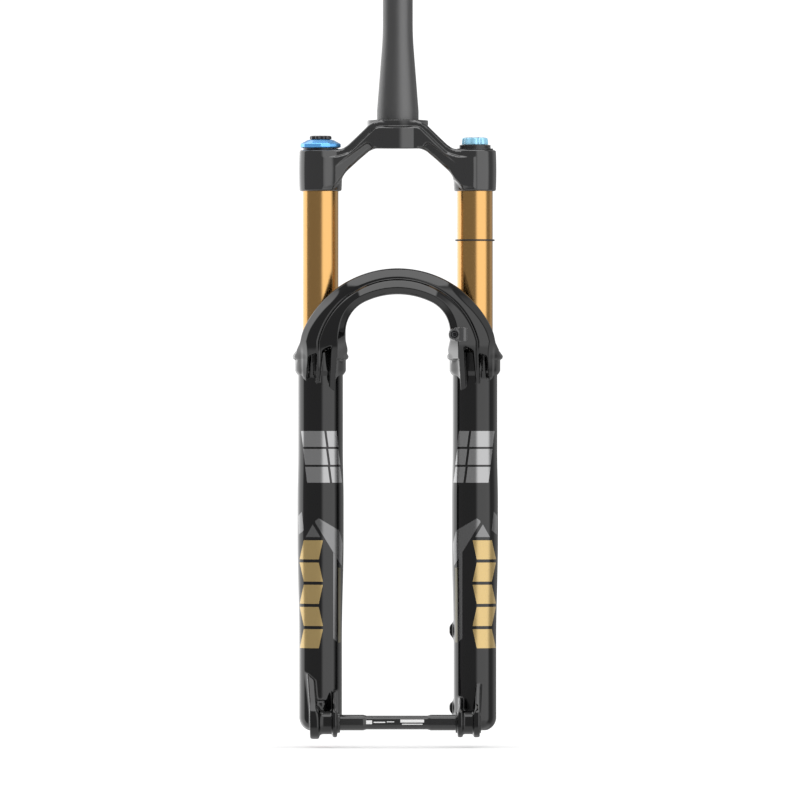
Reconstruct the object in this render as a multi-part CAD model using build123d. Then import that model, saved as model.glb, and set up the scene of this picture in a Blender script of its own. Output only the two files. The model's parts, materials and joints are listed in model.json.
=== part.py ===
"""Single-crown bicycle suspension fork with 34 mm stanchions and a 110 mm through-axle hub gap.

Units are millimetres. The origin is the centre of the crown race seat, on the steerer axis.
+Z runs up the steerer, -Y points forward, the way the bicycle travels, and +X is the rider's left.
The damper is in the -X leg. The air spring is in the +X leg, which also carries the brake posts.
"""

import os
from math import cos, pi, radians, sin

from build123d import *

os.makedirs("parts", exist_ok=True)

# ---- driving dimensions --------------------------------------------------------------------------
TRAVEL = 140.0  # how far the lower legs slide up the stanchions
LEG_X = 73.75  # half the distance between the two stanchion axes
LEG_Y = -10.0  # the stanchion axes lie 10 mm ahead of the steerer axis
AXLE_Y = -44.0  # fork offset, steerer axis to wheel axle
AXLE_Z = -575.3
HUB_HALF = 55.0  # half of the 110 mm hub gap
RUNNING = 0.05  # radial clearance of a running fit
CLEAR = 0.3  # gap between pieces that pass each other
DAMPER, AIR = -1, 1  # the side of each leg along X

# steerer and crown
STEERER_R, STEERER_BORE_R, STEERER_TOP = 14.3, 12.0, 210.0
RACE_R, RACE_HEIGHT = 19.9, 8.5  # seat of a 39.8 mm crown race
PRESS_R = 20.3  # the stretch that is pressed into the crown
TAPER_BOTTOM, TAPER_TOP = 9.5, 80.0
STEERER_FOOT_BORE_R = 16.3
CROWN_FLANGE_R, CROWN_FLANGE_HEIGHT = 29.0, 6.0
CROWN_HUB_R, CROWN_HUB_BOTTOM = 26.0, -28.0
CLAMP_R, CLAMP_TOP, CLAMP_BOTTOM = 20.4, -29.1, -68.3

# stanchions
STANCHION_R, STANCHION_BORE_R, STANCHION_BOTTOM = 17.0, 15.1, -412.0

# lower casting
CASTING_TOP = -221.0
FLANGE_R, FLANGE_Z = 26.6, -226.0
COLLAR_R, COLLAR_TOP, COLLAR_BOTTOM = 24.2, -229.0, -240.0
LEG_TOP_R, LEG_MID_R, LEG_FOOT_R = 21.3, 22.05, 20.35
LEG_FOOT, LEG_CORNER_R = -584.0, 13.0
BUSHING_SEAT_R, LEG_BORE_R, SEAL_SEAT_R = 18.4, 17.8, 21.0
BUSHING_SEAT_BOTTOM, LEG_BORE_BOTTOM = -398.0, -566.0
FOOT_HOLE_R, FOOT_RECESS_R, FOOT_RECESS_TOP = 4.1, 10.5, -576.0

# arch
ARCH_OUTER_R, ARCH_OUTER_Z = 99.4, -241.7
ARCH_CREASE_R, ARCH_CREASE_Z = 78.0, -230.3
ARCH_CREST_R, ARCH_CREST_Z = 72.6, -239.6  # the long arc under the crest
ARCH_HIP_R, ARCH_HIP_X, ARCH_HIP_Z = 32.05, 17.65, -203.05  # the tight arc beside it
ARCH_REAR, ARCH_FRONT, ARCH_SHOULDER = -36.0, -60.0, -52.0
ARCH_FOOT_Z = -229.0

# axle and dropouts
AXLE_R, AXLE_WAIST_R, AXLE_THREAD_R, AXLE_HEAD_R = 7.5, 6.6, 6.9, 8.6
DROPOUT_BARREL_R, DROPOUT_RIM_R, DROPOUT_FLANGE_R, HUB_BOSS_R = 11.1, 13.5, 15.0, 9.8
DROPOUT_DAMPER_END, DROPOUT_AIR_END = -83.7, 79.8
AXLE_HEAD_SEAT = 72.0

# brake posts
POST_X, POST_Y, POST_SPACING, POST_MIDDLE_Z = 56.4, 24.0, 74.2, -525.1
POST_R, POST_HOLE_R, POST_HOLE_DEPTH = 7.0, 3.0, 16.0

# brake hose guide
GUIDE_X, GUIDE_Z, HOSE_R = 53.8, -205.5, 2.6

# top caps and dials
DIAL_R, DIAL_LOBES = 19.6, 14
TRAVEL_RING_Z = -115.2


# ---- helpers -------------------------------------------------------------------------------------
def leg_at(side, z=0.0):
    """The place of a point on a leg's own axis."""
    return Pos(side * LEG_X, LEG_Y, z)


def turned(points):
    """A closed (radius, height) outline turned about Z."""
    outline = Polyline([(r, 0, z) for r, z in points], close=True)
    return revolve(make_face(outline), Axis.Z)


def rod(radius, bottom, top):
    """A cylinder on Z between two heights."""
    return Pos(0, 0, (bottom + top) / 2) * Cylinder(radius, top - bottom)


def ring(outer, inner, bottom, top):
    """A tube on Z between two heights."""
    return rod(outer, bottom, top) - rod(inner, bottom - 1, top + 1)


def bar(radius, left, right):
    """A cylinder on the wheel axle's line between two X places."""
    return Pos((left + right) / 2, AXLE_Y, AXLE_Z) * Rot(0, 90, 0) * Cylinder(radius, right - left)


def hexagon(across_flats, bottom, top):
    """A hexagonal prism on Z."""
    face = RegularPolygon(across_flats / 2, 6, major_radius=False)
    return Pos(0, 0, bottom) * extrude(face, top - bottom)


def torus_ring(mean_r, wire_r, z):
    """An O-ring round Z."""
    return Pos(0, 0, z) * Torus(mean_r, wire_r)


def plate(sketch, near_y, far_y):
    """An outline drawn as (x, z), thickened from near_y back to far_y."""
    return Pos(0, far_y, 0) * extrude(Plane.XZ * sketch, far_y - near_y)


def save(name, shape):
    """Writes one sub-part."""
    export_step(shape, f"parts/{name}.step")


# ---- steerer, crown and stanchions ---------------------------------------------------------------
def steerer_tube():
    """Tapered steerer, pressed into the crown, with its crown race seat at the origin."""
    chamfer_size = 0.8
    return turned([
        (STEERER_FOOT_BORE_R, CROWN_HUB_BOTTOM),
        (PRESS_R, CROWN_HUB_BOTTOM),
        (PRESS_R, 0),
        (RACE_R, 0),
        (RACE_R, RACE_HEIGHT),
        (RACE_R - 0.3, TAPER_BOTTOM),
        (STEERER_R, TAPER_TOP),
        (STEERER_R, STEERER_TOP - chamfer_size),
        (STEERER_R - chamfer_size, STEERER_TOP),
        (STEERER_BORE_R, STEERER_TOP),
        (STEERER_BORE_R, TAPER_TOP - 6),
        (STEERER_FOOT_BORE_R, TAPER_BOTTOM),
    ])


def crown_front_outline():
    """The crown seen from the front, as (x, z)."""
    half = [
        (CROWN_FLANGE_R, 0),
        (CROWN_FLANGE_R, -CROWN_FLANGE_HEIGHT),
        (32.3, -10.0),
        (47.8, -24.2),
        (52.5, -27.6),
        (59.0, CLAMP_TOP),
        (LEG_X + CLAMP_R - 1, CLAMP_TOP),
        (LEG_X + CLAMP_R + 1, -50),
        (LEG_X + CLAMP_R - 1, CLAMP_BOTTOM),
        (LEG_X - CLAMP_R, CLAMP_BOTTOM),
        (LEG_X - CLAMP_R + 1, -59.0),
        (49.3, -50.1),
        (27.1, -30.1),
        (21.0, CROWN_HUB_BOTTOM),
    ]
    mirrored = [(-x, z) for x, z in reversed(half)]
    return make_face(Polyline(half + mirrored, close=True))


def crown_plan():
    """The crown seen from above: the hub, both clamps and the arms that join them."""
    hub = Circle(CROWN_FLANGE_R)
    clamps = [Pos(side * LEG_X, LEG_Y) * Circle(CLAMP_R) for side in (DAMPER, AIR)]
    arms = make_hull((Circle(CROWN_HUB_R) + clamps[0] + clamps[1]).edges())
    # the arms are waisted behind, between the hub and each clamp
    waists = [Pos(side * 44, 33) * Circle(18) for side in (DAMPER, AIR)]
    return hub + (arms - waists[0] - waists[1])


def crown():
    """Forged crown: hub for the steerer, two sloping arms and two stanchion clamps."""
    front = plate(crown_front_outline(), -45, 45)
    above = Pos(0, 0, CLAMP_BOTTOM - 5) * extrude(crown_plan(), -CLAMP_BOTTOM + 5)
    body = front & above
    for side in (DAMPER, AIR):
        # the web of each arm is set back from the rims, in front and behind
        corners = [(side * 33, -17), (side * 48, -31), (side * 51, -46), (side * 34, -30)]
        web = make_face(Polyline(corners, close=True))
        body -= plate(web, -45, -26.5)
        body -= plate(web, 6, 45)
        body -= leg_at(side) * rod(STANCHION_R, CLAMP_BOTTOM - 10, 0)
        # a flat seat for the top cap and its dial
        body -= leg_at(side) * rod(CLAMP_R, CLAMP_TOP, 0)
    return body - rod(PRESS_R, CLAMP_BOTTOM, 10)


def stanchion(side):
    """Upper tube, pressed into the crown clamp and sliding in the lower leg."""
    lead = 1.2
    tube = turned([
        (STANCHION_BORE_R, STANCHION_BOTTOM),
        (STANCHION_R - lead, STANCHION_BOTTOM),
        (STANCHION_R, STANCHION_BOTTOM + lead),
        (STANCHION_R, CLAMP_TOP),
        (STANCHION_BORE_R, CLAMP_TOP),
    ])
    return leg_at(side) * tube


# ---- lower casting -------------------------------------------------------------------------------
def leg_outline():
    """Outside of one lower leg turned about its axis, foot included."""
    corner = LEG_FOOT_R - LEG_CORNER_R
    profile = Polyline([
        (LEG_FOOT_R, LEG_FOOT + LEG_CORNER_R),
        (LEG_FOOT_R, -497),
        (LEG_MID_R, -402),
        (LEG_MID_R, -364),
        (LEG_TOP_R, -316),
        (LEG_TOP_R, -245),
        (COLLAR_R, COLLAR_BOTTOM),
        (COLLAR_R, COLLAR_TOP),
        (FLANGE_R, FLANGE_Z),
        (COLLAR_R, CASTING_TOP),
        (0, CASTING_TOP),
        (0, LEG_FOOT),
        (corner, LEG_FOOT),
    ])
    bottom = RadiusArc((corner, LEG_FOOT), (LEG_FOOT_R, LEG_FOOT + LEG_CORNER_R), -LEG_CORNER_R)
    face = Plane.XZ * make_face(profile + bottom)
    return revolve(face, Axis.Z)


def leg_bore():
    """Everything cut from inside one leg."""
    bore = rod(SEAL_SEAT_R, -229, CASTING_TOP + 1)
    bore += rod(BUSHING_SEAT_R, BUSHING_SEAT_BOTTOM, -228)
    bore += rod(LEG_BORE_R, LEG_BORE_BOTTOM, BUSHING_SEAT_BOTTOM + 1)
    bore += rod(FOOT_HOLE_R, LEG_FOOT - 1, LEG_BORE_BOTTOM + 1)
    return bore + rod(FOOT_RECESS_R, LEG_FOOT - 1, FOOT_RECESS_TOP)


def arch_inside():
    """The space under the arch, as (x, z): a long crest arc, two tight hips and straight sides."""
    crest = Pos(0, ARCH_CREST_Z) * Circle(ARCH_CREST_R)
    reach = ARCH_HIP_X + ARCH_HIP_R
    hips = [Pos(side * ARCH_HIP_X, ARCH_HIP_Z) * Circle(ARCH_HIP_R) for side in (DAMPER, AIR)]
    below = Pos(0, -240) * Rectangle(2 * reach, 2 * (240 + ARCH_HIP_Z))
    wedge = make_face(Polyline([
        (0, ARCH_CREST_Z),
        (0.4353 * 130, ARCH_CREST_Z + 0.9003 * 130),
        (-0.4353 * 130, ARCH_CREST_Z + 0.9003 * 130),
    ], close=True))
    middle = Pos(0, ARCH_HIP_Z + 6) * Rectangle(2 * ARCH_HIP_X, 40)
    return (crest & wedge) + hips[0] + hips[1] + below + middle


def arch_band(outer_r, outer_z, front, bevel):
    """The arch between a circle and the inside space, bevelled round its outer front edge."""
    outside = Pos(0, outer_z) * Circle(outer_r)
    disc = plate(outside, front, ARCH_REAR)
    disc = chamfer(disc.faces().sort_by(Axis.Y)[0].edges(), bevel)
    window = Pos(0, (ARCH_FOOT_Z - 140) / 2) * Rectangle(240, -140 - ARCH_FOOT_Z)
    return disc & plate(window - arch_inside(), front - 1, ARCH_REAR)


def arch():
    """Arch in front of the legs, in two steps, with the brake hose boss."""
    body = arch_band(ARCH_OUTER_R, ARCH_OUTER_Z, ARCH_SHOULDER, 8.0)
    body += arch_band(ARCH_CREASE_R, ARCH_CREASE_Z, ARCH_FRONT, 7.0)
    return body + Pos(GUIDE_X, (ARCH_FRONT + ARCH_REAR) / 2, GUIDE_Z) * Rot(90, 0, 0) * Cylinder(5.3, 24)


def arch_fingers(side):
    """Three ribs that carry each foot of the arch down and back on to its leg."""
    ribs = []
    for x, width, tip_z in ((61.0, 6.5, -259), (76.5, 5.5, -255), (88.5, 5.0, -251)):
        outline = make_face(Polyline([
            (ARCH_SHOULDER + 1, ARCH_FOOT_Z + 4),
            (ARCH_REAR, CASTING_TOP),
            (-20, CASTING_TOP - 1.5),
            (-20, tip_z),
            (-32, tip_z),
        ], close=True))
        ribs.append(Pos(side * x - width / 2, 0, 0) * extrude(Plane.YZ * outline, width))
    return ribs


def rib_to_leg(x, width, rim_r, top_z, side):
    """A dropout rib: from a rim round the axle, up and back to the leg."""
    rim = Pos(AXLE_Y, AXLE_Z) * Circle(rim_r)
    back = make_face(Polyline([(-26, top_z), (-22, top_z), (-22, -582), (-26, -582)], close=True))
    outline = make_hull((rim + back).edges())
    return Pos(x, 0, 0) * extrude(Plane.YZ * outline, width)


def dropout(side):
    """One dropout: a spool round the axle, joined to the leg by two ribs and a block."""
    end = DROPOUT_DAMPER_END if side == DAMPER else DROPOUT_AIR_END
    inner, outer = side * HUB_HALF, end
    low, high = min(inner, outer), max(inner, outer)
    body = bar(DROPOUT_BARREL_R, low + 1, high - 1) + bar(HUB_BOSS_R, low, high)
    block = Pos((low + high) / 2, -30, -575) * Box(high - low - 4, 26, 20)
    body += block
    inner_x = inner + 3 * side if side == AIR else inner + 3 * side - 4
    body += rib_to_leg(inner_x, 4, DROPOUT_RIM_R, -545, side)
    if side == DAMPER:
        body += rib_to_leg(end, 8, DROPOUT_FLANGE_R, -534, side)
    else:
        body += rib_to_leg(end - 6, 4.5, DROPOUT_RIM_R, -536, side)
    return body


def brake_posts():
    """Two posts behind the +X leg, each on a foot that runs back into the leg."""
    posts = []
    for step in (-0.5, 0.5):
        z = POST_MIDDLE_Z + step * POST_SPACING
        post = Pos(POST_X, (POST_Y - 6) / 2, z) * Rot(90, 0, 0) * Cylinder(POST_R, POST_Y + 6)
        foot = Pos((POST_X + LEG_X) / 2, 4, z) * Box(LEG_X - POST_X, 16, 2 * POST_R)
        posts.append(post + foot)
    return posts[0] + posts[1]


def post_holes():
    """The threaded holes in the brake posts."""
    holes = []
    for step in (-0.5, 0.5):
        z = POST_MIDDLE_Z + step * POST_SPACING
        middle_y = POST_Y - POST_HOLE_DEPTH / 2 + 0.5
        holes.append(Pos(POST_X, middle_y, z) * Rot(90, 0, 0) * Cylinder(POST_HOLE_R, POST_HOLE_DEPTH + 1))
    return holes[0] + holes[1]


def lower_casting():
    """One-piece lower: both legs, the arch, the dropouts and the brake posts."""
    body = leg_at(DAMPER) * leg_outline() + leg_at(AIR) * leg_outline() + arch()
    for side in (DAMPER, AIR):
        for rib in arch_fingers(side):
            body += rib
        body += dropout(side)
    body += brake_posts()
    body -= post_holes()
    for side in (DAMPER, AIR):
        body -= leg_at(side) * leg_bore()
    body -= bar(AXLE_R + RUNNING, -60, DROPOUT_AIR_END + 1)
    body -= bar(AXLE_HEAD_R + CLEAR, AXLE_HEAD_SEAT, DROPOUT_AIR_END + 1)
    body -= bar(9.0, DROPOUT_DAMPER_END - 1, -60)
    return body - Pos(GUIDE_X, ARCH_FRONT, GUIDE_Z) * Rot(90, 0, 0) * Cylinder(2.0, 24)


# ---- seals and bushings --------------------------------------------------------------------------
def wiper_seal(side):
    """Dust seal pressed into the top of a leg, with a lip that wipes the stanchion."""
    slide_r = STANCHION_R + RUNNING
    return leg_at(side) * turned([
        (slide_r, -228),
        (SEAL_SEAT_R, -228),
        (SEAL_SEAT_R, CASTING_TOP),
        (SEAL_SEAT_R + 1.4, CASTING_TOP),
        (SEAL_SEAT_R + 1.4, CASTING_TOP + 1.6),
        (SEAL_SEAT_R - 0.6, CASTING_TOP + 2.6),
        (slide_r + 1.2, CASTING_TOP + 6.2),
        (slide_r, CASTING_TOP + 6.5),
    ])


def foam_ring(side):
    """Oil-soaked foam ring under the wiper seal."""
    return leg_at(side) * ring(BUSHING_SEAT_R, STANCHION_R + RUNNING, -237.5, -229.2)


def bushing(side, bottom, top):
    """Thin sleeve that the stanchion slides in."""
    return leg_at(side) * ring(BUSHING_SEAT_R, STANCHION_R + RUNNING, bottom, top)


# ---- damper --------------------------------------------------------------------------------------
CARTRIDGE_R, CARTRIDGE_BORE_R, CARTRIDGE_TOP, CARTRIDGE_BOTTOM = 13.5, 12.3, -42.1, -402.0
SHAFT_R, SHAFT_BORE_R, STUB_R = 5.0, 2.4, 4.1
VALVE_STEM_R, BASE_PISTON_BOTTOM, BASE_PISTON_TOP = 4.0, -132.0, -120.0
FLOATING_BOTTOM, FLOATING_TOP = -100.0, -92.0
PISTON_BOTTOM, PISTON_TOP = -388.0, -376.0
KNOB_TOP, KNOB_HEIGHT = -581.8, 4.5


def damper_top_cap():
    """Threaded cap that closes the damper stanchion and carries both dials."""
    cap = rod(STANCHION_BORE_R, CARTRIDGE_TOP, CLAMP_TOP) + rod(16.7, CLAMP_TOP, CLAMP_TOP + 1.6)
    cap -= rod(2.1, CARTRIDGE_TOP - 1, 0)
    return leg_at(DAMPER) * (cap - rod(5.2, CLAMP_TOP - 5, 0))


def lobed_disc(radius, lobes, depth, bottom, top):
    """A disc with shallow scallops round its rim."""
    disc = rod(radius, bottom, top)
    cutter_r = pi * radius / lobes
    cutter = rod(cutter_r, bottom - 1, top + 1)
    for n in range(lobes):
        angle = radians(360 * n / lobes)
        reach = radius + cutter_r - depth
        disc -= Pos(reach * cos(angle), reach * sin(angle)) * cutter
    return disc


def ports(place_r, hole_r, bottom, top):
    """Six oil ports round a piston, to cut from it."""
    drill = rod(hole_r, bottom - 1, top + 1)
    return Part() + [Rot(0, 0, 60 * n) * Pos(place_r, 0) * drill for n in range(6)]


def high_speed_dial():
    """Wide compression dial: a scalloped rim under a low dome."""
    bottom = CLAMP_TOP + 1.9
    rim = lobed_disc(DIAL_R, DIAL_LOBES, 1.2, bottom, bottom + 4.9)
    dome = turned([(0, bottom + 4.9), (17.8, bottom + 4.9), (11.6, bottom + 8.1), (0, bottom + 8.1)])
    dial = rim + dome - rod(8.4, bottom + 2.5, bottom + 9) - rod(4.5, bottom - 1, bottom + 3)
    stem = ring(4.5, 2.6, CLAMP_TOP - 4.8, bottom + 2.5)
    return leg_at(DAMPER) * (dial + stem)


def low_speed_dial():
    """Small black dial set into the middle of the wide one, with a stem down to the base valve."""
    bottom = CLAMP_TOP + 4.6
    knob = rod(8.1, bottom, bottom + 5.7)
    cap = lobed_disc(10.5, 8, 1.0, bottom + 5.7, bottom + 9.1)
    cap = chamfer(cap.faces().sort_by(Axis.Z)[-1].edges(), 0.7)
    slot = Pos(0, 0, bottom + 9.1) * Box(12, 2.2, 2.4)
    return leg_at(DAMPER) * (knob + cap - slot + rod(1.9, -60, bottom))


def cartridge_tube():
    """Damper cartridge body, hung from the top cap."""
    return leg_at(DAMPER) * ring(CARTRIDGE_R, CARTRIDGE_BORE_R, CARTRIDGE_BOTTOM, CARTRIDGE_TOP)


def base_valve():
    """Compression valve: a fixed stem from the cap with a ported piston at its end."""
    stem = ring(VALVE_STEM_R, 2.1, BASE_PISTON_TOP, CARTRIDGE_TOP)
    piston = rod(CARTRIDGE_BORE_R, BASE_PISTON_BOTTOM, BASE_PISTON_TOP)
    return leg_at(DAMPER) * (stem + piston - ports(8.0, 1.6, BASE_PISTON_BOTTOM, BASE_PISTON_TOP))


def floating_piston():
    """Piston that makes room for the oil the damper shaft displaces."""
    outer, inner = CARTRIDGE_BORE_R - RUNNING, VALVE_STEM_R + RUNNING
    return leg_at(DAMPER) * ring(outer, inner, FLOATING_BOTTOM, FLOATING_TOP)


def floating_piston_spring():
    """Coil spring between the floating piston and the top cap."""
    wire_r, coil_r, turns = 0.9, 9.0, 7
    bottom, top = FLOATING_TOP + wire_r + 0.1, CARTRIDGE_TOP - wire_r - 0.1
    path = Helix(pitch=(top - bottom) / turns, height=top - bottom, radius=coil_r)
    section = Plane(origin=path @ 0, z_dir=path % 0) * Circle(wire_r)
    return leg_at(DAMPER) * Pos(0, 0, bottom) * sweep(section, path=path)


def cartridge_seal_head():
    """Guide and oil seal at the bottom of the cartridge."""
    head = rod(CARTRIDGE_BORE_R, CARTRIDGE_BOTTOM, CARTRIDGE_BOTTOM + 9)
    head += rod(14.4, CARTRIDGE_BOTTOM - 5, CARTRIDGE_BOTTOM)
    hole = rod(SHAFT_R + RUNNING, CARTRIDGE_BOTTOM - 6, CARTRIDGE_BOTTOM + 10)
    return leg_at(DAMPER) * (head - hole)


def leg_shaft(side, top):
    """Hollow shaft from a piston down to the foot, with a threaded stub through the foot's hole."""
    shaft = rod(SHAFT_R, LEG_BORE_BOTTOM, top) + rod(STUB_R, KNOB_TOP + 0.6, LEG_BORE_BOTTOM)
    return leg_at(side) * (shaft - rod(SHAFT_BORE_R, KNOB_TOP, top + 1))


def damper_piston():
    """Ported rebound piston on the damper shaft."""
    piston = ring(CARTRIDGE_BORE_R - RUNNING, SHAFT_R, PISTON_BOTTOM, PISTON_TOP)
    return leg_at(DAMPER) * (piston - ports(8.6, 1.5, PISTON_BOTTOM, PISTON_TOP))


def foot_nut(side):
    """Nut that holds a shaft to the foot of its leg."""
    nut = hexagon(12.0, KNOB_TOP + 0.8, FOOT_RECESS_TOP - 1.0) - rod(STUB_R, KNOB_TOP, FOOT_RECESS_TOP)
    return leg_at(side) * nut


def crush_washer(side):
    """Soft washer that seals the foot's hole."""
    return leg_at(side) * ring(8.0, STUB_R, FOOT_RECESS_TOP - 1.0, FOOT_RECESS_TOP)


def rebound_knob():
    """Rebound knob under the damper leg, with the rod that turns the needle inside the shaft."""
    knob = lobed_disc(7.6, 10, 0.6, KNOB_TOP - KNOB_HEIGHT, KNOB_TOP)
    knob = chamfer(knob.faces().sort_by(Axis.Z)[0].edges(), 0.4)
    return leg_at(DAMPER) * (knob + rod(SHAFT_BORE_R - 0.3, KNOB_TOP, PISTON_TOP - 4))


# ---- air spring ----------------------------------------------------------------------------------
def air_top_cap():
    """Threaded cap that closes the air stanchion, with a spanner fitting round the valve."""
    cap = rod(STANCHION_BORE_R, CARTRIDGE_TOP, CLAMP_TOP) + rod(17.4, CLAMP_TOP, CLAMP_TOP + 1.5)
    cap += lobed_disc(14.9, 12, 1.0, CLAMP_TOP + 1.5, CLAMP_TOP + 4.9)
    return leg_at(AIR) * (cap - rod(4.0, CARTRIDGE_TOP - 1, 0))


def air_valve_stem():
    """Filling valve in the middle of the air cap, threaded outside for the blue cap."""
    stem = rod(4.0, CARTRIDGE_TOP - 6, CLAMP_TOP + 4.9) + rod(3.8, CLAMP_TOP + 4.9, CLAMP_TOP + 9.6)
    return leg_at(AIR) * (stem - rod(2.6, CLAMP_TOP + 2, 0) - rod(1.2, CARTRIDGE_TOP - 7, 0))


def valve_pin():
    """Sprung pin of the filling valve."""
    pin = rod(0.9, CARTRIDGE_TOP - 4, CLAMP_TOP + 9.4)
    return leg_at(AIR) * (pin + rod(1.9, CLAMP_TOP + 4.2, CLAMP_TOP + 5.4))


def air_valve_cap():
    """Screw-off cap over the filling valve."""
    bottom = CLAMP_TOP + 5.1
    skirt = rod(12.6, bottom, bottom + 2.0)
    grip = lobed_disc(12.2, 8, 1.5, bottom + 2.0, bottom + 6.6)
    grip = chamfer(grip.faces().sort_by(Axis.Z)[-1].edges(), 0.6)
    return leg_at(AIR) * (skirt + grip - rod(3.9 + CLEAR, bottom - 1, bottom + 5.2))


def volume_spacer(index):
    """Clip-on block that fills part of the air chamber."""
    top = CARTRIDGE_TOP - index * 10.0
    return leg_at(AIR) * (ring(12.5, 4.4, top - 9.5, top) + ring(6.0, 4.4, top - 10.0, top - 9.5))


def air_piston():
    """Air spring piston on top of the air shaft, with a groove for its seal."""
    body = ring(STANCHION_BORE_R - RUNNING, SHAFT_R, -392, -378)
    body += rod(SHAFT_R + 2, -378, -375)
    return leg_at(AIR) * (body - ring(STANCHION_BORE_R + 1, 12.6, -387, -383))


def air_piston_seal():
    """Square-section ring in the piston's groove."""
    return leg_at(AIR) * ring(STANCHION_BORE_R - RUNNING, 12.6, -387, -383)


def topout_bumper():
    """Rubber bumper above the seal head, for full extension."""
    return leg_at(AIR) * ring(9.5, SHAFT_R + CLEAR, -402, -392.3)


def air_seal_head():
    """Seal head in the bottom of the air stanchion."""
    head = ring(STANCHION_BORE_R, SHAFT_R + RUNNING, -409.5, -402)
    return leg_at(AIR) * head


def seal_head_circlip():
    """Split ring that holds the seal head in."""
    clip = ring(STANCHION_BORE_R, 13.0, -411.0, -409.5)
    return leg_at(AIR) * (clip - Pos(14, 0, -410) * Box(5, 6, 4))


# ---- axle, guide and ring ------------------------------------------------------------------------
def thru_axle():
    """15 mm through axle with a waisted middle and a hexagon socket in its head."""
    taper = 1.5
    profile = [
        (0, -82.5), (AXLE_THREAD_R - 0.8, -82.5), (AXLE_THREAD_R, -81.7),
        (AXLE_THREAD_R, -59.8), (AXLE_R, -59.2), (AXLE_R, -31.4 - taper),
        (AXLE_WAIST_R, -31.4 + taper), (AXLE_WAIST_R, 29.8 - taper), (AXLE_R, 29.8 + taper),
        (AXLE_R, AXLE_HEAD_SEAT), (AXLE_HEAD_R, AXLE_HEAD_SEAT), (AXLE_HEAD_R, 78.6),
        (AXLE_HEAD_R - 0.8, 79.4), (0, 79.4),
    ]
    body = turned(profile) - hexagon(6.0, 71.0, 80.0)
    return Pos(0, AXLE_Y, AXLE_Z) * Rot(0, 90, 0) * body


def axle_nut():
    """Threaded sleeve in the damper dropout that the axle screws into."""
    body = bar(9.0, DROPOUT_DAMPER_END + 0.4, -60) - bar(AXLE_THREAD_R + RUNNING, -90, -58)
    return body


def hose_guide():
    """Guide for the brake hose on the front of the arch."""
    front, back = ARCH_FRONT - 7.5, ARCH_FRONT
    tongue = Pos(GUIDE_X, (front + back) / 2, GUIDE_Z) * Rot(90, 0, 0) * Cylinder(5.0, back - front)
    block = Pos(GUIDE_X + 5.5, (front + back) / 2, GUIDE_Z) * Box(11, back - front, 13.2)
    block = fillet(block.edges().filter_by(Axis.Y), 1.4)
    channel = Pos(GUIDE_X + 8.5, ARCH_FRONT - 4.6, GUIDE_Z) * Cylinder(4.2, 13.2)
    guide = tongue + block + channel
    guide -= Pos(GUIDE_X + 8.5, ARCH_FRONT - 4.6, GUIDE_Z) * Cylinder(HOSE_R, 20)
    guide -= Pos(GUIDE_X, front + 2, GUIDE_Z) * Rot(90, 0, 0) * Cylinder(3.4, 6)
    return guide - Pos(GUIDE_X, (front + back) / 2, GUIDE_Z) * Rot(90, 0, 0) * Cylinder(2.0, 20)


def hose_guide_bolt():
    """Socket screw that holds the hose guide on its boss."""
    seat = ARCH_FRONT - 2.5
    head = rod(3.2, 0, 3.0) - hexagon(2.5, 1.0, 4.0)
    shank = rod(1.95, -12, 0)
    return Pos(GUIDE_X, seat, GUIDE_Z) * Rot(90, 0, 0) * (head + shank)


def travel_ring():
    """Rubber ring on the air stanchion that marks how far the fork has moved."""
    wire_r = 0.95
    return leg_at(AIR) * torus_ring(STANCHION_R + RUNNING + wire_r, wire_r, TRAVEL_RING_Z)


def main():
    """Builds and writes every sub-part."""
    save("steerer_tube", steerer_tube())
    save("crown", crown())
    save("lower_casting", lower_casting())
    for side, name in ((DAMPER, "damper_side"), (AIR, "air_side")):
        save(f"stanchion_{name}", stanchion(side))
        save(f"wiper_seal_{name}", wiper_seal(side))
        save(f"foam_ring_{name}", foam_ring(side))
        save(f"upper_bushing_{name}", bushing(side, -254.0, -239.0))
        save(f"lower_bushing_{name}", bushing(side, BUSHING_SEAT_BOTTOM, -380.0))
        save(f"foot_nut_{name}", foot_nut(side))
        save(f"crush_washer_{name}", crush_washer(side))
    save("damper_top_cap", damper_top_cap())
    save("high_speed_dial", high_speed_dial())
    save("low_speed_dial", low_speed_dial())
    save("cartridge_tube", cartridge_tube())
    save("base_valve", base_valve())
    save("floating_piston", floating_piston())
    save("floating_piston_spring", floating_piston_spring())
    save("cartridge_seal_head", cartridge_seal_head())
    save("damper_shaft", leg_shaft(DAMPER, PISTON_TOP))
    save("damper_piston", damper_piston())
    save("rebound_knob", rebound_knob())
    save("air_top_cap", air_top_cap())
    save("air_valve_stem", air_valve_stem())
    save("valve_pin", valve_pin())
    save("air_valve_cap", air_valve_cap())
    for index in range(2):
        save(f"volume_spacer_{index + 1}", volume_spacer(index))
    save("air_shaft", leg_shaft(AIR, -378))
    save("air_piston", air_piston())
    save("air_piston_seal", air_piston_seal())
    save("topout_bumper", topout_bumper())
    save("air_seal_head", air_seal_head())
    save("seal_head_circlip", seal_head_circlip())
    save("thru_axle", thru_axle())
    save("axle_nut", axle_nut())
    save("hose_guide", hose_guide())
    save("hose_guide_bolt", hose_guide_bolt())
    save("travel_ring", travel_ring())


main()
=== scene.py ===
"""The suspension fork's looks: sculpted castings, turned pieces, materials, light and camera."""
import json
from math import cos, pi, radians, sin

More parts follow.
